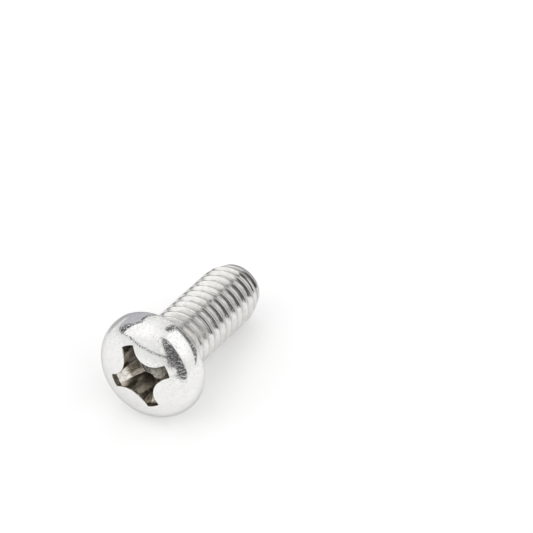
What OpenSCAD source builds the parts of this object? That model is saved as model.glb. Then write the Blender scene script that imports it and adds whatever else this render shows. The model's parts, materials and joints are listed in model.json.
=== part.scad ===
// Machine screw M4 x 10 with a pan head and a cross recess, in millimetres.
// It lies as it comes to rest: the rim of the head and the last full crest of the thread
// touch the ground at Z = 0. The head is towards -X and the end face towards +X.

/* [Thread] */
// Major diameter over the crests
thread_d = 3.95; // [3.85:0.05:4.2]
// Rise of the right-hand thread in one turn
pitch = 0.7; // [0.6:0.05:0.8]
// Depth of the groove from crest to root
groove_h = 0.43; // [0.3:0.01:0.45]
// Width of the narrow flat on the crest
crest_w = 0.06; // [0.04:0.01:0.1]
// Width of the hollow at the root
root_w = 0.16; // [0.1:0.01:0.2]
// How far the root's hollow rises to its edges
root_rise = 0.05; // [0.02:0.01:0.08]

/* [Shank] */
// Length from the bearing face to the end face
shank_l = 10; // [6:0.5:30]
// Diameter of the plain neck under the head
neck_d = 3.5; // [3.3:0.05:3.6]
// Length of the plain neck under the head
neck_l = 0.7; // [0.5:0.1:1.4]
// Length over which the thread fades into the neck
runout_l = 0.6; // [0.3:0.1:1.2]
// Fillet between the neck and the bearing face
fillet_r = 0.3; // [0.25:0.05:0.4]
// Diameter of the flat end face
end_d = 3.15; // [2.8:0.05:3.4]
// Length over which the first turns rise to full height
lead_l = 1.25; // [0.8:0.05:1.6]

/* [Head] */
// Diameter of the head
head_d = 6.9; // [6.5:0.05:7.2]
// Height of the head over the bearing face
head_h = 2.3; // [2.1:0.05:2.8]
// Radius of the domed crown
crown_r = 6.2; // [5.5:0.1:9]
// Height of the side over the bearing face, up to where the shoulder begins
side_h = 0.4; // [0.3:0.05:0.8]
// Radius of the lower edge of the side
rim_r = 0.25; // [0.1:0.05:0.3]

/* [Recess] */
// Distance over opposite wing ends at the mouth
recess_d = 4.15; // [3.8:0.05:4.4]
// Distance over opposite wing ends at the foot of the wings
recess_foot_d = 2.3; // [2.1:0.05:2.6]
// Width of a wing at the mouth
wing_w = 0.81; // [0.7:0.01:0.9]
// Radius of the rounded ridges between the wings at the mouth
ridge_r = 1.35; // [1.2:0.05:1.4]
// Lean of the wing sides and ridges, in degrees
wing_lean = 2; // [1:0.5:4]
// Angle of the wing ends to the axis, in degrees
wing_slope = 26.5; // [24:0.5:29]
// Angle of the conical floor, in degrees
floor_slope = 28; // [20:1:32]
// Diameter of the blunt bottom of the floor
floor_d = 0.6; // [0.4:0.1:1]
// Turn of the recess about the axis, in degrees
recess_turn = 30; // [0:1:89]

/* [Hidden] */

// Facets of a full circle
$fn = 96;
// Facets of the thread in one turn
turn_n = 36;
// Smallest height of a thread facet at the ends of the thread
facet_h = 0.02;
// How far solids that are joined reach into each other
overlap = 0.3;
// How far the thread's blank stays inside the neck's surface
inset = 0.02;

head_r = head_d / 2;
neck_r = neck_d / 2;
crest_r = thread_d / 2;
root_r = crest_r - groove_h;
end_r = end_d / 2;
thread_l = shank_l - neck_l;

// Depth of the crown's centre under the top of the side
centre_drop = crown_r - head_h + side_h;
// Radius of the shoulder, which meets the side and the crown without a step
shoulder_r = (pow(crown_r, 2) - pow(head_r, 2) - pow(centre_drop, 2)) / (crown_r - head_r) / 2;
shoulder_x = head_r - shoulder_r;
crown_edge_x = shoulder_x * crown_r / (crown_r - shoulder_r);

// Height of the crown over the bearing face at a distance x from the axis
function crown_z(x) = head_h - crown_r + sqrt(pow(crown_r, 2) - pow(x, 2));

// Points of the thread's section in one pitch: share of the pitch, radius
section = [
    [-crest_w / pitch / 2, crest_r],
    [crest_w / pitch / 2, crest_r],
    [0.5 - root_w / pitch / 2, root_r + root_rise],
    [0.5, root_r],
    [0.5 + root_w / pitch / 2, root_r + root_rise],
];
section_n = len(section);

// Height over the end face of the first crest at the angle 0, so that the crest on the
// underside stands where the thread has just reached its full height
first_z = lead_l + crest_w / 2 - pitch / 2;

// Height over the end face of point m of the running section, at step i of the turn
function path_z(m, i) =
    let (turn = floor(m / section_n), point = m - section_n * turn)
    first_z + pitch * (turn + section[point][0] + i / turn_n);

// Radius of the same point: the lead cone cuts it near the end face, and it fades into
// the blank at the neck
function path_r(m, i) =
    let (
        z = path_z(m, i),
        full = section[m - section_n * floor(m / section_n)][1],
        lead = end_r + (crest_r - end_r) * z / lead_l,
        fade = max(0, min(1, (thread_l - z) / runout_l)),
        blank = neck_r - inset
    )
    blank + (min(full, lead) - blank) * fade;

// First and last point of the running section that lie on the thread, at step i
function first_m(i, m) = path_z(m, i) > facet_h ? m : first_m(i, m + 1);
function last_m(i, m) = path_z(m, i) < thread_l - facet_h ? m : last_m(i, m - 1);

function around(r, z, i) = [r * cos(360 * i / turn_n), r * sin(360 * i / turn_n), z - shank_l];

// Threaded length as one closed surface: each column of points runs from the end face to the
// neck at one angle, and neighbouring columns share the helical edges of the section
module thread() {
    below = -2 * section_n;
    above = section_n * ceil(thread_l / pitch + 2);
    lows = [for (i = [0:turn_n - 1]) first_m(i, below)];
    highs = [for (i = [0:turn_n - 1]) last_m(i, above)];
    columns = [for (i = [0:turn_n - 1]) [
        around(end_r, 0, i),
        for (m = [lows[i]:highs[i]]) around(path_r(m, i), path_z(m, i), i),
        around(neck_r - 2 * inset, thread_l + inset, i),
        around(neck_r - overlap, thread_l + overlap, i),
    ]];
    starts = [for (i = 0, at = 0; i < turn_n; at = at + len(columns[i]), i = i + 1) at];

    // The column after the last is the first one, one pitch higher
    function low(i) = i < turn_n ? lows[i] : lows[0] - section_n;
    function high(i) = i < turn_n ? highs[i] : highs[0] - section_n;
    function base(i) = starts[i % turn_n];
    function at(i, m) = base(i) + 1 + m - low(i);
    function rim(i) = base(i) + len(columns[i % turn_n]) - 2;
    function plug(i) = rim(i) + 1;

    faces = [
        [for (i = [0:turn_n - 1]) base(i)],
        [for (i = [turn_n - 1:-1:0]) plug(i)],
        for (i = [0:turn_n - 1]) each [
            [base(i), at(i, low(i)), base(i + 1)],
            [base(i + 1), at(i, low(i)), at(i + 1, low(i + 1))],
            for (m = [low(i + 1):1:low(i) - 1]) [at(i, low(i)), at(i + 1, m + 1), at(i + 1, m)],
            for (m = [low(i):high(i + 1) - 1]) each [
                [at(i, m), at(i, m + 1), at(i + 1, m + 1)],
                [at(i, m), at(i + 1, m + 1), at(i + 1, m)],
            ],
            for (m = [high(i + 1):1:high(i) - 1]) [at(i, m), at(i, m + 1), at(i + 1, high(i + 1))],
            [at(i, high(i)), rim(i), at(i + 1, high(i + 1))],
            [rim(i), rim(i + 1), at(i + 1, high(i + 1))],
            [rim(i), plug(i), plug(i + 1)],
            [rim(i), plug(i + 1), rim(i + 1)],
        ],
    ];
    polyhedron(points = [for (c = columns) each c], faces = faces);
}

// Half section of the head: crown, shoulder, side and lower edge
module head_section() {
    intersection() {
        translate([0, head_h - crown_r]) circle(crown_r);
        square([crown_edge_x, head_h + overlap]);
    }
    intersection() {
        translate([shoulder_x, side_h]) circle(shoulder_r);
        translate([shoulder_x, side_h]) square(shoulder_r);
    }
    translate([0, rim_r]) square([head_r, side_h - rim_r]);
    translate([head_r - rim_r, rim_r]) circle(rim_r);
    square([head_r - rim_r, rim_r]);
}

// Half section of the neck with its fillet to the bearing face
module neck_section() {
    translate([0, -neck_l]) square([neck_r, neck_l + overlap]);
    difference() {
        translate([0, -fillet_r]) square([neck_r + fillet_r, fillet_r + rim_r]);
        translate([neck_r + fillet_r, -fillet_r]) circle(fillet_r);
    }
}

module head_and_neck() {
    rotate_extrude() {
        head_section();
        neck_section();
    }
}

// Ridge between two wings: a rounded corner, and the straight sides of the wings beyond it.
// The wings narrow with depth by wing_lean, and the corner grows by as much.
module ridge(low_z, mouth_z, top_z) {
    corner = wing_w / 2 + ridge_r;
    low_w = wing_w / 2 - (mouth_z - low_z) * tan(wing_lean);
    top_w = wing_w / 2 + (top_z - mouth_z) * tan(wing_lean);
    translate([corner, corner, low_z]) cylinder(
        h = top_z - low_z,
        r1 = corner - low_w,
        r2 = corner - top_w
    );
    for (side = [0, 1]) mirror([side, -side, 0]) translate([corner, 0, 0]) rotate([90, 0, 90])
        linear_extrude(recess_d) polygon([
            [low_w, low_z],
            [recess_d, low_z],
            [recess_d, top_z],
            [top_w, top_z],
        ]);
}

// Cross recess: a funnel that the wing ends lie on, less the four ridges between the wings
module recess() {
    mouth_z = crown_z(recess_d / 2);
    foot_z = mouth_z - (recess_d - recess_foot_d) / 2 / tan(wing_slope);
    floor_z = foot_z - (recess_foot_d - floor_d) / 2 * tan(floor_slope);
    top_z = head_h + overlap;
    difference() {
        rotate_extrude() polygon([
            [0, floor_z],
            [floor_d / 2, floor_z],
            [recess_foot_d / 2, foot_z],
            [recess_d / 2 + (top_z - mouth_z) * tan(wing_slope), top_z],
            [0, top_z],
        ]);
        for (turn = [0:90:270]) rotate(turn) ridge(floor_z - overlap, mouth_z, top_z + overlap);
    }
}

// Lays the upright screw down. The lower edge of the head is an arc about a point that is
// reach_x back from the touching crest and reach_z further from the axis.
module lie() {
    reach_x = shank_l - lead_l + rim_r;
    reach_z = head_r - rim_r - crest_r;
    tilt = atan2(reach_z, reach_x) + asin(rim_r / norm([reach_x, reach_z]));
    lift = (shank_l - lead_l) * sin(tilt) + crest_r * cos(tilt);
    back = crown_r - (crown_r - head_h) * cos(tilt);
    front = shank_l * cos(tilt) + end_r * sin(tilt);
    translate([(back - front) / 2, 0, lift]) rotate([0, tilt - 90, 0]) children();
}

module screw() {
    color("silver") lie() difference() {
        union() {
            head_and_neck();
            thread();
        }
        rotate(recess_turn) recess();
    }
}

screw();
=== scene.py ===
"""Looks of a machine screw with a pan head, a cross recess and a rolled thread.

The screw is one closed surface worked out with numpy in its own upright frame: height 0 is the
bearing face, the crown is above it and the end of the shank below. It is laid down with the
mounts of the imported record, so it stands exactly where the CAD solid is.
"""

import json
import math

import bmesh
import bpy
import numpy as np
from bpy.props import FloatProperty, FloatVectorProperty, PointerProperty
from mathutils import Matrix, Vector


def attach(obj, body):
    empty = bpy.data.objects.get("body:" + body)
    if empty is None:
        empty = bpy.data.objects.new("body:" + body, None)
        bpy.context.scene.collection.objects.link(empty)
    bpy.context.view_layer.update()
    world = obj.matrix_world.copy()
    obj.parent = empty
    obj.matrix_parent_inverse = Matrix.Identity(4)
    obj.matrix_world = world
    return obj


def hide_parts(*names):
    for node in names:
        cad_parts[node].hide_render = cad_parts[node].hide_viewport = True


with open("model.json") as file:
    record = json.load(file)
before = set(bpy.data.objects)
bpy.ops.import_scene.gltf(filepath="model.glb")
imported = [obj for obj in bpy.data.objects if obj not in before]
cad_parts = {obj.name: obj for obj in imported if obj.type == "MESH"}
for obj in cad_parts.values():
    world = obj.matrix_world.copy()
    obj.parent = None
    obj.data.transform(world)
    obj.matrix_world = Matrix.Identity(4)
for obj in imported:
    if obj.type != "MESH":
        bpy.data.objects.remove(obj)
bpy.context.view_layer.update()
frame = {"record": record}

bl_info = {
    "name": "Machine screw",
    "version": (1, 0, 0),
    "blender": (4, 5, 0),
    "location": "View3D > Sidebar > Screw",
    "description": "Builds a pan head machine screw with its steel finishes, and its stage",
    "category": "Add Mesh",
}

# Side of the square picture in pixels, and width of the camera's sensor in millimetres
PHOTO_SIDE = 533
SENSOR = 36.0

# Facets of a full circle, a multiple of 8
COLUMNS = 216
# Facets of half a wing end, out of the 27 of an eighth of the circle
WING_COLUMNS = 7
# Places of the thread's rows in half a pitch, from the crest's middle to the root's middle
THREAD_SHARES = (0.0, 0.018, 0.036, 0.043, 0.051, 0.1, 0.18, 0.27, 0.36, 0.42, 0.46, 0.5)
# Rows of the neck and its fillet, of the crown, and of the recess from its mouth down
NECK_ROWS = 3
FILLET_ROWS = 8
CROWN_ROWS = 23
STEEP_ROWS = 4
LEDGE_ROWS = 6
SLOPE_ROWS = 10
FLOOR_ROWS = 12
# How much the crown's rows crowd towards the mouth
CROWN_CROWDING = 1.6
# Rounds in which the mouth's height settles on the dome
MOUTH_ROUNDS = 12
# Vertices nearer than this are one, and edges sharper than this stay sharp
MERGE_GAP = 2e-7
SHARP_ANGLE = math.radians(42)

# Slots of the three finishes in the screw's mesh
HEAD, RECESS, THREAD = 0, 1, 2
# Painted shade on the thread's crest and root, and how fast the painted shade in the recess deepens with
# depth
CREST_PAINTED_SHADE = 0.4
ROOT_PAINTED_SHADE = 0.5
DEPTH_POWER = 3
# Colour of steel under full painted shade, as shares of the bright colour
PAINTED_SHADE_TINT = (0.2, 0.19, 0.17)
# Scales of the soft patches of roughness and of the darker smudges
PATCH_SCALE = 1400.0
SMUDGE_SCALE = 3200.0


def length(name, description, default):
    return FloatProperty(
        name=name, description=description, default=default, unit="LENGTH", precision=5
    )


def degrees(name, description, default):
    return FloatProperty(
        name=name, description=description, default=math.radians(default), subtype="ANGLE"
    )


def colour(name, description, default):
    return FloatVectorProperty(
        name=name, description=description, default=default, subtype="COLOR", size=3, min=0, max=1
    )


def share(name, description, default):
    return FloatProperty(
        name=name, description=description, default=default, subtype="FACTOR", min=0, max=1
    )


class ScrewSizes(bpy.types.PropertyGroup):
    """Sizes of the screw"""

    thread_d: length("Thread diameter", "Diameter over the crests", 0.00395)
    pitch: length("Pitch", "Rise of the thread in one turn", 0.0007)
    groove_h: length("Groove depth", "Depth from crest to root", 0.00043)
    crest_w: length("Crest width", "Width of the flat on the crest", 0.00006)
    crest_soft: length("Crest rounding", "How softly crest and flank meet", 0.000003)
    flank_bow: length("Flank bow", "How far a flank bulges", 0.000018)
    seam_h: length("Seam depth", "Depth of the seam that rolling leaves along the crest", 0.00002)
    seam_w: length("Seam width", "Half width of that seam", 0.000016)
    root_w: length("Root width", "Width of the hollow at the root", 0.0002)
    root_soft: length("Root rounding", "How softly flank and root meet", 0.00001)
    root_rise: length("Root rise", "How far the hollow rises to its edges", 0.00005)
    shank_l: length("Shank length", "From the bearing face to the end face", 0.01)
    neck_d: length("Neck diameter", "Diameter of the plain neck", 0.0035)
    neck_l: length("Neck length", "Length of the plain neck", 0.0007)
    runout_l: length("Run-out", "Length over which the thread fades into the neck", 0.0006)
    fillet_r: length("Neck fillet", "Radius between neck and bearing face", 0.0003)
    end_d: length("End diameter", "Diameter at the end face", 0.00315)
    end_edge: length("End edge", "Size of the broken edge of the end face", 0.00005)
    end_cup: length("End cup", "Depth of the shallow dish in the end face", 0.00003)
    lead_l: length("Lead", "Length over which the first turns rise", 0.00125)
    head_d: length("Head diameter", "Diameter of the head", 0.0069)
    head_h: length("Head height", "Height over the bearing face", 0.0023)
    crown_r: length("Crown radius", "Radius of the dome", 0.0062)
    side_h: length("Side height", "Height where the shoulder begins", 0.0004)
    rim_r: length("Rim radius", "Radius of the lower edge", 0.00025)
    recess_d: length("Recess width", "Over opposite wing ends at the mouth", 0.00415)
    recess_foot_d: length("Recess foot", "Over opposite wing ends at the foot", 0.0023)
    wing_w: length("Wing width", "Width of a wing at the mouth", 0.00081)
    ridge_r: length("Ridge radius", "Radius of the ridges between the wings", 0.00135)
    mouth_edge: length("Mouth edge", "Radius of the recess's upper edge", 0.00006)
    end_drop: length("Wing end drop", "Depth of the steep part of a wing end", 0.0004)
    end_lean: degrees("Wing end lean", "Lean of the steep part of a wing end", 5)
    ledge_lean: degrees("Wing ledge lean", "Lean of the wing end between its steep part and its foot", 38)
    ledge_drop: length("Wing ledge drop", "Depth of the wing end's ledge under the mouth", 0.00103)
    wing_lean: degrees("Wing lean", "Lean of the wing sides", 2)
    wing_slope: degrees("Wing slope", "Angle of the wing ends to the axis", 26.5)
    floor_slope: degrees("Floor slope", "Angle of the conical floor", 28)
    floor_d: length("Floor diameter", "Diameter of the blunt bottom", 0.0006)
    recess_turn: degrees("Recess turn", "Turn of the recess about the axis", 30)


class ScrewFinish(bpy.types.PropertyGroup):
    """Colours and gloss of the screw"""

    head_colour: colour("Head steel", "Polished steel of the head", (0.86, 0.855, 0.845))
    recess_colour: colour("Recess steel", "Punched steel in the recess", (0.8, 0.77, 0.72))
    thread_colour: colour("Thread steel", "Rolled steel of the thread", (0.8, 0.792, 0.775))
    head_rough: share("Head roughness", "Roughness of the head", 0.07)
    recess_rough: share("Recess roughness", "Roughness of the recess", 0.08)
    thread_rough: share("Thread roughness", "Roughness of the thread", 0.14)


class ScrewStage(bpy.types.PropertyGroup):
    """View and light"""

    focal_px: FloatProperty(
        name="Focal length", description="In pixels of the 533 pixel frame", default=3200
    )
    distance: length("Distance", "From the camera to the shank under the head", 0.19488)
    heading: degrees("Heading", "Heading of the line of sight from +X towards +Y", 31.476)
    downward: degrees("Downward", "How far the line of sight looks down", 42.564)
    aside: degrees("Aside", "Turn of the camera away from that line", -2.264)
    tip: degrees("Tip", "Further tip of the camera down from that line", -1.396)
    white: FloatProperty(name="White", description="Strength of the white backdrop", default=1.0)


def steps(start, stop, count):
    """Evenly spaced values after start, up to and with stop."""
    return start + (stop - start) * np.arange(1, count + 1) / count


def arc(centre_r, centre_z, radius, start, stop, count):
    """Profile points on an arc: centre plus radius times cosine and sine, angles in degrees."""
    angle = np.radians(steps(start, stop, count))
    return np.stack([centre_r + radius * np.cos(angle), centre_z + radius * np.sin(angle)], -1)


def revolved(profile):
    """Rows of points: each profile point (radius, height) carried round the axis in equal steps."""
    angle = np.arange(COLUMNS) * (2 * np.pi / COLUMNS)
    r, z = np.asarray(profile)[:, :1], np.asarray(profile)[:, 1:]
    return np.stack([r * np.cos(angle), r * np.sin(angle), z + 0 * angle], -1)


def smooth_low(a, b, soft):
    """The lower of a and b, with the corner between them rounded over about soft."""
    return -soft * np.logaddexp(-a / soft, -b / soft)


def smooth_high(a, b, soft):
    """The higher of a and b, with the corner between them rounded over about soft."""
    return soft * np.logaddexp(a / soft, b / soft)


def thread_section(s, x):
    """Radius of the full thread at a distance x along the axis from a crest's middle: the flat
    crest, the flank as a straight line plus a low parabola, and the root, joined softly, less a
    narrow bell curve for the seam in the crest."""
    x = np.abs(x)
    crest_r = s.thread_d / 2
    root_r = crest_r - s.groove_h
    flank_w = (s.pitch - s.root_w - s.crest_w) / 2
    way = (x - s.crest_w / 2) / flank_w
    bulge = 4 * s.flank_bow * np.clip(way, 0, 1) * (1 - np.clip(way, 0, 1))
    flank = crest_r - way * (s.groove_h - s.root_rise) + bulge
    crest = smooth_low(crest_r + 0 * x, flank, s.crest_soft)
    seam = s.seam_h * np.exp(-((x / s.seam_w) ** 2))
    return smooth_high(root_r + 0 * x, crest, s.root_soft) - seam


def thread_rows(s):
    """Rows that run along the helix: row j stands at a fixed share of the pitch and rises by one
    pitch in a turn, so its last point joins the row one pitch further up. The radius is the
    thread's section, cut by the lead cone near the end and faded into the neck. Rows are held
    between the end face's edge and the neck. The second array is the shade painted on each
    point, a darkening of its colour: the root most, then the rolled crest, and the flanks not at
    all. The third value is the number of rows in one pitch."""
    half = np.array(THREAD_SHARES)
    shares = np.concatenate([-half[:0:-1], half[:-1]])
    thread_l = s.shank_l - s.neck_l
    crest_r, end_r, neck_r = s.thread_d / 2, s.end_d / 2, s.neck_d / 2
    first = s.lead_l + s.crest_w / 2 - s.pitch / 2
    turns = np.arange(-math.ceil(first / s.pitch) - 2, math.ceil((thread_l - first) / s.pitch) + 2)
    i = np.arange(COLUMNS) / COLUMNS
    place = (turns[:, None] + shares).ravel()
    z = first + s.pitch * (place[:, None] + i)
    full = thread_section(s, s.pitch * np.tile(shares, len(turns)))[:, None]
    lead = end_r + (crest_r - end_r) * z / s.lead_l
    r = smooth_low(full, lead, s.root_soft)
    fade = np.clip((thread_l - z) / s.runout_l, 0, 1)
    fade = fade * fade * (3 - 2 * fade)
    r = neck_r + (r - neck_r) * fade
    low_r = end_r + (crest_r - end_r) * s.end_edge / s.lead_l
    r = np.where(z <= s.end_edge, low_r, np.where(z >= thread_l, neck_r, r))
    z = np.clip(z, s.end_edge, thread_l) - s.shank_l
    angle = 2 * np.pi * i
    across = np.abs(np.tile(shares, len(turns))) * s.pitch
    on_crest, in_root = across < s.crest_w / 2, across > (s.pitch - s.root_w) / 2
    # Painted shade: the colour darkens on the crest and more in the root, as if shaded there
    painted_shade = np.maximum(CREST_PAINTED_SHADE * on_crest, ROOT_PAINTED_SHADE * in_root)[:, None]
    painted_shade = painted_shade * fade * (z > s.end_edge - s.shank_l)
    return np.stack([r * np.cos(angle), r * np.sin(angle), z], -1), painted_shade, len(shares)


def crown_height(s, r):
    """Height of the dome over the bearing face at a distance r from the axis."""
    return s.head_h - s.crown_r + np.sqrt(s.crown_r**2 - r**2)


def recess_levels(s):
    """Heights of the mouth, the foot of the wings and the floor."""
    mouth = crown_height(s, s.recess_d / 2)
    foot = mouth - (s.recess_d - s.recess_foot_d) / 2 / math.tan(s.wing_slope)
    floor = foot - (s.recess_foot_d - s.floor_d) / 2 * math.tan(s.floor_slope)
    return mouth, foot, floor


def recess_eighth(s, z):
    """Contour of the recess at heights z, from the middle of a wing end to the middle of the ridge
    beside it. The first columns lie on the wing end, an arc about the axis with the funnel's
    radius. The funnel is a row of straight pieces: steep under the mouth, a ledge, the slope to
    the foot, and the floor's cone. The other columns follow the wing's straight side and the
    ridge's round corner in steps of equal length. Where the funnel is too narrow to meet the
    ridge, the contour is a plain arc."""
    mouth, foot, _ = recess_levels(s)
    foot_r = s.recess_foot_d / 2
    bend_z, ledge_z = mouth - s.end_drop, mouth - s.ledge_drop
    bend_r = s.recess_d / 2 - s.end_drop * math.tan(s.end_lean)
    ledge_r = bend_r - (bend_z - ledge_z) * math.tan(s.ledge_lean)
    funnel = np.select(
        [z >= bend_z, z >= ledge_z, z >= foot],
        [
            s.recess_d / 2 + (z - mouth) * math.tan(s.end_lean),
            ledge_r + (z - ledge_z) * math.tan(s.ledge_lean),
            foot_r + (z - foot) * (ledge_r - foot_r) / (ledge_z - foot),
        ],
        np.maximum(foot_r - (foot - z) / math.tan(s.floor_slope), s.floor_d / 2),
    )
    corner = s.wing_w / 2 + s.ridge_r
    side = s.wing_w / 2 - (mouth - z) * math.tan(s.wing_lean)
    ridge = corner - side
    cut = funnel > corner * math.sqrt(2) - ridge
    ratio = (funnel**2 + 2 * corner**2 - ridge**2) / (2 * math.sqrt(2) * funnel * corner)
    on_corner = np.pi / 4 - np.arccos(np.clip(ratio, -1, 1))
    on_side = np.arcsin(np.clip(side / funnel, -1, 1))
    straight = np.sqrt(np.maximum(funnel**2 - side**2, 0)) > corner
    edge = np.where(straight, on_side, on_corner)
    q = np.arange(COLUMNS // 8 + 1)
    end_angle = edge * np.clip(q / WING_COLUMNS, 0, 1)
    end = np.stack([funnel * np.cos(end_angle), funnel * np.sin(end_angle)], -1)
    run = np.where(straight, funnel * np.cos(edge) - corner, 0)
    turn_0 = np.where(
        straight,
        -np.pi / 2,
        np.arctan2(funnel * np.sin(edge) - corner, funnel * np.cos(edge) - corner),
    )
    bend = ridge * (turn_0 + 3 * np.pi / 4)
    way = np.clip((q - WING_COLUMNS) / (COLUMNS // 8 - WING_COLUMNS), 0, 1) * (run + bend)
    turn = turn_0 - np.maximum(way - run, 0) / ridge
    wall = np.where(
        (way < run)[..., None],
        np.stack([funnel * np.cos(edge) - way, side], -1),
        np.stack([corner + ridge * np.cos(turn), corner + ridge * np.sin(turn)], -1),
    )
    round_angle = np.pi / 4 * q / (COLUMNS // 8)
    plain = np.stack([funnel * np.cos(round_angle), funnel * np.sin(round_angle)], -1)
    return np.where(cut[..., None], np.where((q <= WING_COLUMNS)[:, None], end, wall), plain)


def columns_turned(s):
    """Whole columns nearest to the turn of the recess: its share of a full turn, rounded."""
    return round(s.recess_turn / (2 * np.pi) * COLUMNS)


def around(s, eighth):
    """Full turn of a contour: the eighth, its mirror image across the diagonal, and four quarter
    turns, then the turn of the recess. Columns are counted from the local X axis."""
    quarter = np.concatenate([eighth, eighth[..., -2:0:-1, ::-1]], -2)
    x, y = quarter[..., 0], quarter[..., 1]
    full = np.concatenate(
        [np.stack(pair, -1) for pair in ((x, y), (-y, x), (-x, -y), (y, -x))], -2
    )
    x, y = full[..., 0], full[..., 1]
    cosine, sine = math.cos(s.recess_turn), math.sin(s.recess_turn)
    full = np.stack([cosine * x - sine * y, sine * x + cosine * y], -1)
    return np.roll(full, columns_turned(s), -2)


def around_heights(s, eighth):
    """Full turn of heights given for an eighth of the contour, in the order of around()."""
    quarter = np.concatenate([eighth, eighth[..., -2:0:-1]], -1)
    return np.roll(np.concatenate([quarter] * 4, -1), columns_turned(s), -1)


def recess_rows(s, outer):
    """Rows from the outer circle over the crown to the mouth, round its edge, down the walls to
    the foot and over the conical floor to its blunt bottom, as four blocks. On the crown a point
    is the mix of circle and mouth, lifted onto the dome. The mouth's edge is a quarter circle
    between dome and wall. Extra rows lie close under the two bends of the wing ends."""
    mouth, foot, floor = recess_levels(s)
    top = np.full((1, COLUMNS // 8 + 1), mouth)
    for _ in range(MOUTH_ROUNDS):
        top = crown_height(s, np.linalg.norm(recess_eighth(s, top), axis=-1))
    ring = around(s, recess_eighth(s, top))[0]
    along = np.roll(ring, -1, 0) - np.roll(ring, 1, 0)
    out = np.stack([along[:, 1], -along[:, 0]], -1) / np.linalg.norm(along, axis=1)[:, None]
    turn = np.radians([0, 22.5, 45, 67.5, 90])[:, None]
    drop, off = s.mouth_edge * (1 - np.cos(turn)), s.mouth_edge * (1 - np.sin(turn))
    lip = around(s, recess_eighth(s, top - drop)) + off[..., None] * out
    lip_z = crown_height(s, np.linalg.norm(lip, axis=-1)) - drop
    mix = (1 - (1 - steps(0, 1, CROWN_ROWS + 1)[:-1]) ** CROWN_CROWDING)[:, None, None]
    crown = outer[None, :, :2] * (1 - mix) + lip[:1] * mix
    crown_z = crown_height(s, np.linalg.norm(crown, axis=-1))
    bend_z, ledge_z = mouth - s.end_drop, mouth - s.ledge_drop
    near = s.end_drop / 20
    down = steps(0, 1, STEEP_ROWS)[:, None]
    wall_z = np.concatenate([
        (top - s.mouth_edge) * (1 - down) + (bend_z + near) * down,
        bend_z - near + 0 * top,
        steps(bend_z - near, ledge_z + near, LEDGE_ROWS)[:, None] + 0 * top,
        ledge_z - near + 0 * top,
        steps(ledge_z - near, foot, SLOPE_ROWS)[:, None] + 0 * top,
    ])
    wall = around(s, recess_eighth(s, wall_z))
    floor_z = steps(foot, floor, FLOOR_ROWS)[:, None] + 0 * top
    ground = around(s, recess_eighth(s, floor_z))
    return [
        np.concatenate([crown, crown_z[..., None]], -1),
        np.concatenate([lip, lip_z[..., None]], -1),
        np.concatenate([wall, around_heights(s, wall_z)[..., None]], -1),
        np.concatenate([ground, around_heights(s, floor_z)[..., None]], -1),
    ]


def head_profile(s):
    """Profile from the neck to the edge of the crown, as (radius, height): lines for the neck,
    the bearing face and the side, and arcs for the fillet, the lower edge and the shoulder,
    which meets side and crown without a step."""
    neck_r, head_r = s.neck_d / 2, s.head_d / 2
    drop = s.crown_r - s.head_h + s.side_h
    shoulder_r = (s.crown_r**2 - head_r**2 - drop**2) / (s.crown_r - head_r) / 2
    shoulder_x = head_r - shoulder_r
    join = math.degrees(math.atan2(drop, shoulder_x))
    neck_z = np.linspace(-s.neck_l, -s.fillet_r, NECK_ROWS)
    lines = [
        np.stack([neck_r + 0 * neck_z, neck_z], -1),
        arc(neck_r + s.fillet_r, -s.fillet_r, s.fillet_r, 180, 90, FILLET_ROWS),
        np.stack([steps(neck_r + s.fillet_r, head_r - s.rim_r, 6), np.zeros(6)], -1),
        arc(head_r - s.rim_r, s.rim_r, s.rim_r, -90, 0, 8),
        np.array([[head_r, s.side_h]]),
        arc(shoulder_x, s.side_h, shoulder_r, 0, join, 18),
    ]
    return np.concatenate(lines)


def end_profile(s):
    """Profile of the end face from near the axis to its broken edge, as (radius, height): the
    dish is a parabola, and two short slopes break the edge."""
    edge_r = s.end_d / 2 - 0.8 * s.end_edge
    r = edge_r * np.array([0.02, 0.3, 0.6, 0.85, 1.0])
    low_r = s.end_d / 2 + (s.thread_d - s.end_d) / 2 * s.end_edge / s.lead_l
    dish = np.stack([r, s.end_cup * (1 - (r / edge_r) ** 2) - s.shank_l], -1)
    middle = [(edge_r + low_r) / 2 + 0.1 * s.end_edge, 0.4 * s.end_edge - s.shank_l]
    rim = [low_r, s.end_edge - s.shank_l]
    return np.concatenate([dish, [middle, rim]])


def quads(rows, first, seam=0):
    """Faces between neighbouring rows of a block whose vertices start at first. Beyond the last
    column comes the first one, seam rows further up."""
    j = np.arange(rows - 1)[:, None]
    i = np.arange(COLUMNS)[None, :]

    def at(row, column):
        row = np.where(column == COLUMNS, np.minimum(row + seam, rows - 1), row)
        return first + row * COLUMNS + column % COLUMNS

    return np.stack([at(j, i), at(j, i + 1), at(j + 1, i + 1), at(j + 1, i)], -1).reshape(-1, 4)


def lay_down():
    """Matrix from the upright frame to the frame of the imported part: the drive mount is the top
    of the crown, and its axis is the screw's axis out of the head."""
    mount = next(m for m in frame["record"]["mounts"] if m["name"] == "drive_recess")
    out = Vector(mount["axis"]).normalized()
    side = Vector((0, 1, 0))
    up = side.cross(out).normalized()
    origin = Vector(mount["pos_m"]) - out * bpy.context.scene.screw_sizes.head_h
    turn = Matrix((up, side, out)).transposed().to_4x4()
    return Matrix.Translation(origin) @ turn


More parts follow.
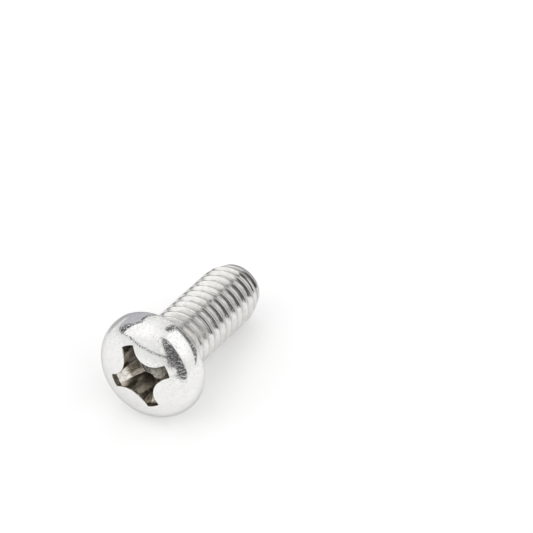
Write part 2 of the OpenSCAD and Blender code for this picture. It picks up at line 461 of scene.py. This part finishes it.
def screw_mesh(s):
    """Closed mesh of the whole screw: end face, thread, neck and head, crown and recess, each a
    block of rows, with vertices that coincide merged and the two last holes on the axis filled.
    Faces carry their finish, the attribute says how much shade is painted on each point, and the
    UV map runs along the rows and across them, in metres."""
    thread, painted_shade_thread, seam = thread_rows(s)
    head = revolved(head_profile(s))
    crown, lip, wall, floor = recess_rows(s, head[-1])
    top = np.concatenate([head, crown, lip, wall, floor])
    end = revolved(end_profile(s))
    mouth, _, ground = recess_levels(s)
    inner = len(head) + len(crown) + len(lip) // 2
    # Painted shade in the recess: its colour darkens the deeper it lies
    depth = (mouth - top[inner:, :, 2]) / (mouth - ground)
    painted_shade_top = np.zeros(top.shape[:2])
    painted_shade_top[inner:] = np.clip(depth, 0, 1) ** DEPTH_POWER
    painted_shades = [np.zeros(end.shape[:2]), painted_shade_thread, painted_shade_top]
    finish_top = np.full(len(top) - 1, HEAD)
    finish_top[inner:] = RECESS
    finish_top[:NECK_ROWS + FILLET_ROWS] = THREAD
    points, faces, finishes, maps = [], [], [], []
    count = 0
    for block, step, finish in (
        (end, 0, np.full(len(end) - 1, THREAD)),
        (thread, seam, np.full(len(thread) - 1, THREAD)),
        (top, 0, finish_top),
    ):
        rows = len(block)
        points.append(block.reshape(-1, 3))
        faces.append(quads(rows, count, step))
        finishes.append(np.repeat(finish, COLUMNS))
        radius = np.linalg.norm(block[..., :2], axis=-1).max()
        u = np.arange(COLUMNS + 1) * (2 * np.pi * radius / COLUMNS)
        lengths = np.linalg.norm(np.diff(block[:, 0], axis=0), axis=1)
        v = np.concatenate([[0], np.cumsum(lengths)])
        u0, v0 = np.meshgrid(u[:-1], v[:-1])
        u1, v1 = np.meshgrid(u[1:], v[1:])
        maps.append(np.stack([u0, v0, u1, v0, u1, v1, u0, v1], -1).reshape(-1, 4, 2))
        count += rows * COLUMNS
    points, faces = np.concatenate(points), np.concatenate(faces)
    mesh = bpy.data.meshes.new("screw_steel")
    mesh.from_pydata(points.tolist(), [], faces.tolist())
    mesh.polygons.foreach_set("material_index", np.concatenate(finishes).astype(np.int32))
    painted_shade = mesh.attributes.new("painted_shade", "FLOAT", "POINT")
    painted_shade.data.foreach_set("value", np.concatenate([d.ravel() for d in painted_shades]).astype(np.float32))
    uv = mesh.uv_layers.new(name="rolled")
    uv.uv.foreach_set("vector", np.concatenate(maps).astype(np.float32).ravel())
    work = bmesh.new()
    work.from_mesh(mesh)
    bmesh.ops.remove_doubles(work, verts=work.verts, dist=MERGE_GAP)
    edges = [e for e in work.edges if e.is_boundary]
    caps = bmesh.ops.holes_fill(work, edges=edges, sides=0)["faces"]
    low, high = sorted(caps, key=lambda face: face.calc_center_median().z)
    low.material_index, high.material_index = THREAD, RECESS
    bmesh.ops.recalc_face_normals(work, faces=work.faces)
    work.to_mesh(mesh)
    work.free()
    mesh.transform(lay_down())
    mesh.shade_smooth()
    mesh.set_sharp_from_angle(angle=SHARP_ANGLE)
    return mesh


def nodes_of(material):
    """Clears a material and gives back its node tree."""
    material.use_nodes = True
    material.node_tree.nodes.clear()
    return material.node_tree


def node(tree, kind, settings=None, **sockets):
    """Adds a node, sets its settings, and sets or links its sockets by name, or by number as i0,
    i1 and so on."""
    made = tree.nodes.new(kind)
    for name, value in (settings or {}).items():
        setattr(made, name, value)
    for name, value in sockets.items():
        socket = made.inputs[int(name[1:])] if name[0] == "i" and name[1:].isdigit() else None
        socket = socket or made.inputs[name.replace("_", " ")]
        if isinstance(value, bpy.types.NodeSocket):
            tree.links.new(value, socket)
        else:
            socket.default_value = value
    return made


def steel(name, tint, rough, pit, pit_depth, smudge, streak_scale, drawn_out, streak_depth):
    """Bright steel: a metal whose roughness varies in soft patches, and whose colour darkens
    where shade is painted on it and in smudges of up to smudge. It is peppered with fine pits, pit
    apart and up to pit_depth deep. Rolling or punching left streaks, which drawn_out stretches
    along the rows or across them."""
    material = bpy.data.materials.new(name)
    tree = nodes_of(material)
    place = node(tree, "ShaderNodeTexCoord").outputs["Object"]
    patches = node(tree, "ShaderNodeTexNoise", Vector=place, Scale=PATCH_SCALE, Detail=3.0)
    wear = node(
        tree, "ShaderNodeMapRange", Value=patches.outputs["Fac"], From_Min=0.3, From_Max=0.7,
        To_Min=rough * 0.75, To_Max=rough * 1.35,
    )
    cells = node(tree, "ShaderNodeTexVoronoi", Vector=place, Scale=1 / pit)
    hollow = node(
        tree, "ShaderNodeMapRange", {"interpolation_type": "SMOOTHSTEP"},
        Value=cells.outputs["Distance"], From_Min=0.05, From_Max=0.5,
    )
    deep = node(tree, "ShaderNodeSeparateColor", Color=cells.outputs["Color"])
    pits = node(
        tree, "ShaderNodeMix", {"data_type": "FLOAT"}, Factor=deep.outputs["Red"], i2=1.0,
        i3=hollow.outputs["Result"],
    )
    bump = node(tree, "ShaderNodeBump", Strength=1.0, Distance=pit_depth, Height=pits.outputs[0])
    rolled = node(tree, "ShaderNodeUVMap", {"uv_map": "rolled"}).outputs["UV"]
    drawn = node(tree, "ShaderNodeMapping", Vector=rolled, Scale=drawn_out)
    streaks = node(
        tree, "ShaderNodeTexNoise", Vector=drawn.outputs["Vector"], Scale=streak_scale, Detail=2.0
    )
    bump = node(
        tree, "ShaderNodeBump", Strength=1.0, Distance=streak_depth, Height=streaks.outputs["Fac"],
        Normal=bump.outputs["Normal"],
    )
    clouds = node(
        tree, "ShaderNodeTexNoise", Vector=place, Scale=SMUDGE_SCALE, Detail=5.0, Roughness=0.65
    )
    smudges = node(
        tree, "ShaderNodeMapRange", Value=clouds.outputs["Fac"], From_Min=0.42, From_Max=0.72,
        To_Min=0.0, To_Max=smudge,
    )
    # Painted shade from the mesh, with the smudges added: how far the colour falls to the shaded tint
    painted_shade = node(tree, "ShaderNodeAttribute", {"attribute_name": "painted_shade"}).outputs["Fac"]
    painted_shade = node(tree, "ShaderNodeMath", {"use_clamp": True}, i0=painted_shade, i1=smudges.outputs["Result"])
    shade = [bright * part for bright, part in zip(tint, PAINTED_SHADE_TINT)]
    metal = node(
        tree, "ShaderNodeMix", {"data_type": "RGBA"}, i0=painted_shade.outputs["Value"], i6=(*tint, 1),
        i7=(*shade, 1),
    )
    skin = node(
        tree, "ShaderNodeBsdfPrincipled", Base_Color=metal.outputs[2], Metallic=1.0,
        Roughness=wear.outputs["Result"], Specular_Tint=(0.7, 0.7, 0.7, 1),
        Normal=bump.outputs["Normal"],
    )
    node(tree, "ShaderNodeOutputMaterial", Surface=skin.outputs["BSDF"])
    return material


class SCREW_OT_build(bpy.types.Operator):
    """Build the screw from its sizes and give it its steel finishes"""

    bl_idname = "machine_screw.build"
    bl_label = "Screw"

    def execute(self, context):
        sizes, finish = context.scene.screw_sizes, context.scene.screw_finish
        mesh = screw_mesh(sizes)
        for material in (
            steel(
                "polished head", finish.head_colour, finish.head_rough,
                pit=8e-5, pit_depth=1.2e-5, smudge=0.1,
                streak_scale=9000.0, drawn_out=(1, 0.3, 1), streak_depth=1e-6,
            ),
            steel(
                "punched recess", finish.recess_colour, finish.recess_rough,
                pit=1.2e-4, pit_depth=6e-6, smudge=0.35,
                streak_scale=3200.0, drawn_out=(1, 0.04, 1), streak_depth=3e-5,
            ),
            steel(
                "rolled thread", finish.thread_colour, finish.thread_rough,
                pit=1e-4, pit_depth=4e-6, smudge=0.16,
                streak_scale=15000.0, drawn_out=(0.05, 1, 1), streak_depth=1e-5,
            ),
        ):
            mesh.materials.append(material)
        screw = bpy.data.objects.new("screw_steel", mesh)
        context.collection.objects.link(screw)
        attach(screw, "root")
        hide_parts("screw")
        return {"FINISHED"}


def sight(stage):
    """Camera matrix: it stands back along the line of sight from the shank, 2 mm under the head,
    and looks a little beside that line, as the photograph's frame does."""
    base = lay_down()
    target = base @ Vector((0, 0, -0.002))

    def ahead(heading, down):
        return Vector((
            math.cos(heading) * math.cos(down), math.sin(heading) * math.cos(down), -math.sin(down)
        ))

    place = target - ahead(stage.heading, stage.downward) * stage.distance
    heading = stage.heading + stage.aside
    look = ahead(heading, stage.downward + stage.tip)
    right = Vector((math.sin(heading), -math.cos(heading), 0))
    turn = Matrix((right, right.cross(look), -look)).transposed().to_4x4()
    return Matrix.Translation(place) @ turn


# What stands round the screw, as seen from it. Each edge is a plane: its normal towards the lit
# side, how far the edge is moved towards that side, and how soft it is, as sines of angles.
DARK_ROOM = (0.11, 0.11, 0.115, 1)
# Things in the room, each over those before it: its colour, then its edges
DIM_SIDE = ((0.17, 0.17, 0.175, 1), [((1.0, 0.0, 0.0), 0.1, 0.2)])
LOW_SIDE = ((0.6, 0.6, 0.6, 1), [
    ((1.0, 0.0, 0.0), 0.88, 0.08),
    ((0.0, 0.0, -1.0), -0.24, 0.08),
])
CEILING = ((0.9, 0.9, 0.9, 1), [
    ((0.0, 0.0, 1.0), 0.885, 0.08),
    ((-1.0, 0.0, 0.0), -0.2, 0.12),
])
WALL = ((0.57, 0.57, 0.61, 1), [
    ((-0.187, 0.743, -0.643), 0.03, 0.05),
    ((0.686, 0.517, -0.512), 0.1, 0.06),
    ((1.0, 0.0, 0.0), 0.0, 0.25),
])
STRIP = ((0.95, 0.95, 0.93, 1), [
    ((-0.140, 0.990, -0.189), 0.0, 0.05),
    ((-0.883, 0.469, 0.0), -0.05, 0.10),
    ((0.0, 0.0, -1.0), -0.155, 0.03),
])
# The soft boxes over the rest: the colour by their rims, that of their core, the core's edge,
# and the box's own edges
BACK_BOX = (
    (0.97, 0.97, 0.96, 1),
    (1.2, 1.2, 1.19, 1),
    ((-0.299, 0.641, 0.707), 0.8, 0.4),
    [((-0.040, 0.999, 0.0), -0.05, 0.08), ((0.0, 0.0, 1.0), 0.20, 0.03)],
)
FRONT_BOX = (
    (0.98, 0.98, 0.97, 1),
    (1.2, 1.2, 1.2, 1),
    ((0.0, 0.0, 1.0), 0.45, 0.5),
    [
        ((0.844, -0.496, 0.203), 0.0, 0.06),
        ((-0.098, -0.959, -0.267), -0.05, 0.06),
        ((-0.578, -0.245, 0.778), 0.08, 0.10),
    ],
)
# Two edges that meet in the back box's corner, which it fills on both sides
BACK_CORNER = (
    ((0.187, -0.743, 0.643), 0.06, 0.04),
    ((-0.686, -0.517, 0.512), 0.01, 0.04),
)
# What the steel shows of the table beyond the camera's view: the paper ends in front of the
# screw, and lies in shade behind it. Each edge is a direction along the table, how far the edge
# is from the middle of the head, and how soft it is.
PAPER_TONE = (0.9, 0.9, 0.9, 1)
PAPER_END = ((0.1, 0.1, 0.1, 1), [
    ((-0.819, -0.574, 0.0), 0.021, 0.004),
    ((0.342, -0.940, 0.0), 0.001, 0.004),
    ((-0.862, 0.507, 0.0), 0.0, 0.003),
])
PAPER_SHADE = ((0.5, 0.5, 0.51, 1), [
    ((0.857, 0.515, 0.0), 0.013, 0.003),
    ((0.342, 0.940, 0.0), 0.0, 0.006),
    ((0.966, -0.259, 0.0), 0.0, 0.006),
])
# Half the paper's side, and the share of its tone that it gives off by itself
PAPER_REACH = 1.0
PAPER_GLOW = 0.3


def inside(tree, point, edge, ramp="SMOOTHSTEP"):
    """Mask of an edge: 1 on its lit side and 0 on the other, from the point's reach along its
    normal, less the offset, over the softness."""
    normal, offset, soft = edge
    along = node(tree, "ShaderNodeVectorMath", {"operation": "DOT_PRODUCT"}, i0=point, i1=normal)
    return node(
        tree, "ShaderNodeMapRange", {"interpolation_type": ramp}, Value=along.outputs["Value"],
        From_Min=offset - soft / 2, From_Max=offset + soft / 2,
    ).outputs["Result"]


def joined(tree, masks, operation="MULTIPLY"):
    """One mask out of several: their product, or with MAXIMUM the largest of them."""
    result = masks[0]
    for mask in masks[1:]:
        both = node(tree, "ShaderNodeMath", {"operation": operation}, i0=result, i1=mask)
        result = both.outputs["Value"]
    return result


def over(tree, below, above, mask):
    """Colour above where the mask is 1, and colour below where it is 0."""
    return node(tree, "ShaderNodeMix", {"data_type": "RGBA"}, i0=mask, i6=below, i7=above).outputs[2]


def studio(tree, toward):
    """The studio by direction: a dark room, dimly lit on the side that the screw's end points to
    and paler low down there, a pale ceiling, a grey wall, a pale strip behind the floor, and two
    soft boxes that are brightest in their cores. A thing is seen where the direction is on the
    lit side of all its edges."""
    light = DARK_ROOM
    for tint, edges in (DIM_SIDE, LOW_SIDE, CEILING, WALL, STRIP):
        light = over(tree, light, tint, joined(tree, [inside(tree, toward, e) for e in edges]))
    corner = joined(tree, [inside(tree, toward, e) for e in BACK_CORNER], "MAXIMUM")
    for (rim, core, core_edge, edges), more in ((BACK_BOX, [corner]), (FRONT_BOX, [])):
        box = over(tree, rim, core, inside(tree, toward, core_edge))
        masks = [inside(tree, toward, e) for e in edges] + more
        light = over(tree, light, box, joined(tree, masks))
    return light


class SCREW_OT_stage(bpy.types.Operator):
    """Set up the pale floor, the soft studio light and the camera"""

    bl_idname = "machine_screw.stage"
    bl_label = "Stage"

    def execute(self, context):
        scene, stage = context.scene, context.scene.screw_stage
        scene.view_settings.view_transform = "Standard"
        floor_mesh = bpy.data.meshes.new("floor")
        corners = [(-1, -1), (1, -1), (1, 1), (-1, 1)]
        corners = [(PAPER_REACH * x, PAPER_REACH * y, 0) for x, y in corners]
        floor_mesh.from_pydata(corners, [], [(0, 1, 2, 3)])
        floor = bpy.data.objects.new("floor", floor_mesh)
        context.collection.objects.link(floor)
        paper = bpy.data.materials.new("white paper")
        tree = nodes_of(paper)
        glossy = node(tree, "ShaderNodeLightPath").outputs["Is Glossy Ray"]
        middle = lay_down() @ Vector((0, 0, context.scene.screw_sizes.head_h))
        place = node(tree, "ShaderNodeTexCoord").outputs["Object"]
        place = node(tree, "ShaderNodeVectorMath", {"operation": "SUBTRACT"}, i0=place, i1=middle)
        place = place.outputs["Vector"]
        tone = PAPER_TONE
        for shade, edges in (PAPER_END, PAPER_SHADE):
            masks = [glossy] + [inside(tree, place, edge, "LINEAR") for edge in edges]
            tone = over(tree, tone, shade, joined(tree, masks))
        matt = node(tree, "ShaderNodeBsdfDiffuse", Color=tone)
        glow = node(tree, "ShaderNodeEmission", Color=tone, Strength=PAPER_GLOW)
        both = node(tree, "ShaderNodeAddShader", i0=matt.outputs["BSDF"], i1=glow.outputs["Emission"])
        node(tree, "ShaderNodeOutputMaterial", Surface=both.outputs["Shader"])
        floor_mesh.materials.append(paper)

        world = bpy.data.worlds.new("studio")
        scene.world = world
        world.use_nodes = True
        tree = world.node_tree
        tree.nodes.clear()
        toward = node(tree, "ShaderNodeTexCoord").outputs["Generated"]
        room = node(tree, "ShaderNodeBackground", Color=studio(tree, toward), Strength=1.0)
        seen = node(tree, "ShaderNodeBackground", Color=(1, 1, 1, 1), Strength=stage.white)
        rays = node(tree, "ShaderNodeLightPath")
        mixed = node(
            tree, "ShaderNodeMixShader", i0=rays.outputs["Is Camera Ray"], i1=room.outputs["Background"],
            i2=seen.outputs["Background"],
        )
        node(tree, "ShaderNodeOutputWorld", Surface=mixed.outputs["Shader"])

        lens = bpy.data.cameras.new("camera")
        lens.sensor_width = SENSOR
        lens.lens = stage.focal_px * SENSOR / PHOTO_SIDE
        lens.clip_start, lens.clip_end = 0.005, 50
        camera = bpy.data.objects.new("camera", lens)
        context.collection.objects.link(camera)
        camera.matrix_world = sight(stage)
        scene.camera = camera
        return {"FINISHED"}


class SCREW_PT_panel(bpy.types.Panel):
    """Lists the screw's operators and settings"""

    bl_idname = "SCREW_PT_panel"
    bl_label = "Machine screw"
    bl_space_type = "VIEW_3D"
    bl_region_type = "UI"
    bl_category = "Screw"

    def draw(self, context):
        layout = self.layout
        layout.operator(SCREW_OT_build.bl_idname)
        layout.operator(SCREW_OT_stage.bl_idname)
        for group in (context.scene.screw_sizes, context.scene.screw_finish, context.scene.screw_stage):
            box = layout.box()
            for name in group.bl_rna.properties.keys():
                if name not in {"rna_type", "name"}:
                    box.prop(group, name)


CLASSES = (ScrewSizes, ScrewFinish, ScrewStage, SCREW_OT_build, SCREW_OT_stage, SCREW_PT_panel)


def register():
    for item in CLASSES:
        bpy.utils.register_class(item)
    bpy.types.Scene.screw_sizes = PointerProperty(type=ScrewSizes)
    bpy.types.Scene.screw_finish = PointerProperty(type=ScrewFinish)
    bpy.types.Scene.screw_stage = PointerProperty(type=ScrewStage)


def unregister():
    del bpy.types.Scene.screw_stage
    del bpy.types.Scene.screw_finish
    del bpy.types.Scene.screw_sizes
    for item in reversed(CLASSES):
        bpy.utils.unregister_class(item)


def main():
    """Registers the classes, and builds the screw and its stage."""
    register()
    bpy.ops.machine_screw.build()
    bpy.ops.machine_screw.stage()


if __name__ == "__main__":
    main()
